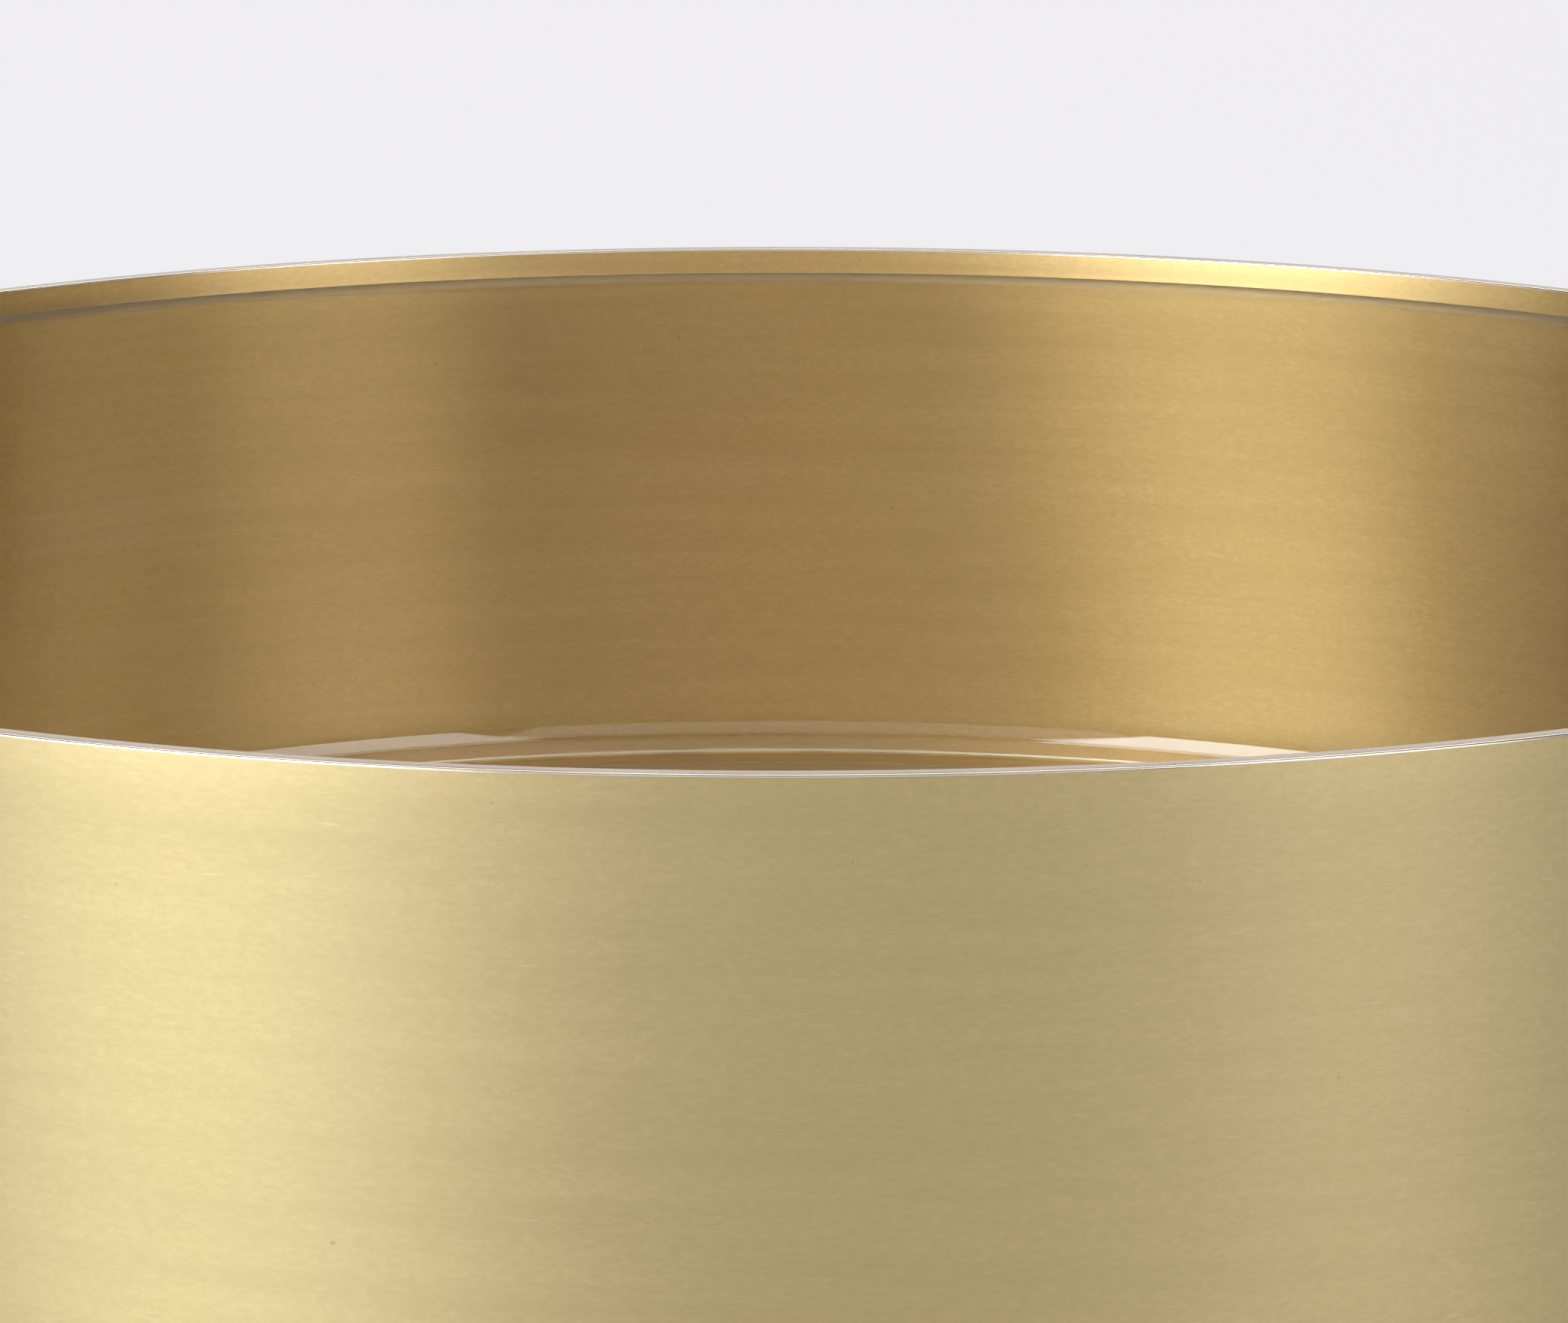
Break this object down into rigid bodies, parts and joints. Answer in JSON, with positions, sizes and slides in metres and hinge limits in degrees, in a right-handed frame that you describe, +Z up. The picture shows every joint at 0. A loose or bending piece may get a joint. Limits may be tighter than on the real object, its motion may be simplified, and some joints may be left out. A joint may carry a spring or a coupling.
{
  "type": "brass planter pot",
  "caption": "Low, wide round brass planter pot with a straight brushed wall, a thin polished rim and a clear liner that lifts out.",
  "frame": {"origin": "on the pot's axis, at the height of the surface that its foot pads stand on", "axes": "+Z up along the pot's axis, towards the open rim; X and Y lie level, and the pot is the same all round"},
  "size_m": [0.3, 0.3, 0.074],
  "materials": {
    "brass": "fine brushing round the pot, polished cut rim",
    "solder": "smooth soldered fillet, lightly polished",
    "clear_acrylic": "clear, gloss, moulded",
    "rubber": "matt, fine moulded grain"
  },
  "bodies": {
    "pot": {"pot_wall": "brass", "base_plate": "brass", "solder_fillet": "solder", "foot_pad_1": "rubber", "foot_pad_2": "rubber", "foot_pad_3": "rubber", "foot_pad_4": "rubber"},
    "liner": {"clear_liner": "clear_acrylic"}
  },
  "joints": [
    {"name": "liner_lift", "type": "slide", "parent": "pot", "child": "liner", "axis": [0, 0, 1], "range_m": [0, 0.08]}
  ]
}
